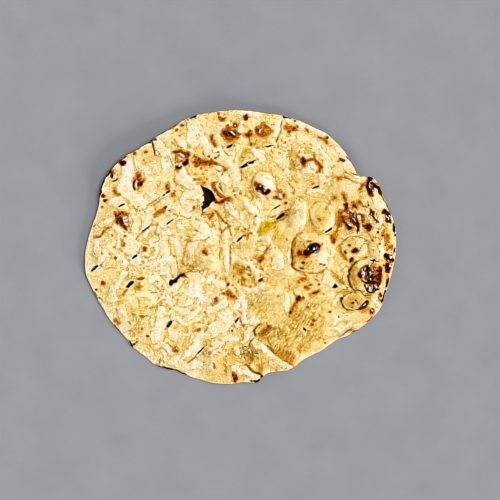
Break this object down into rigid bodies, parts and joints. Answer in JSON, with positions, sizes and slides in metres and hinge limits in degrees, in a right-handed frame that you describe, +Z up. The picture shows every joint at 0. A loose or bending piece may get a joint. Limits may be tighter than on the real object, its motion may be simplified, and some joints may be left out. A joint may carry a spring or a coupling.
{
  "type": "tandoori roti",
  "caption": "Thin hand-slapped flatbread with an uneven round outline, blown blisters, pricked slits, a torn pocket and a lifted, scorched rim. It lies flat.",
  "frame": {"origin": "middle of the bread's outline, on the surface that it lies on", "axes": "+Z up out of the blistered face, +X along the longest way across, +Y to the far side"},
  "size_m": [0.1862, 0.164, 0.0079],
  "materials": {
    "baked_dough": "dry matte crust, cream to gold, with brown and black scorched spots"
  },
  "bodies": {
    "root": {"roti": "baked_dough"}
  },
  "joints": []
}
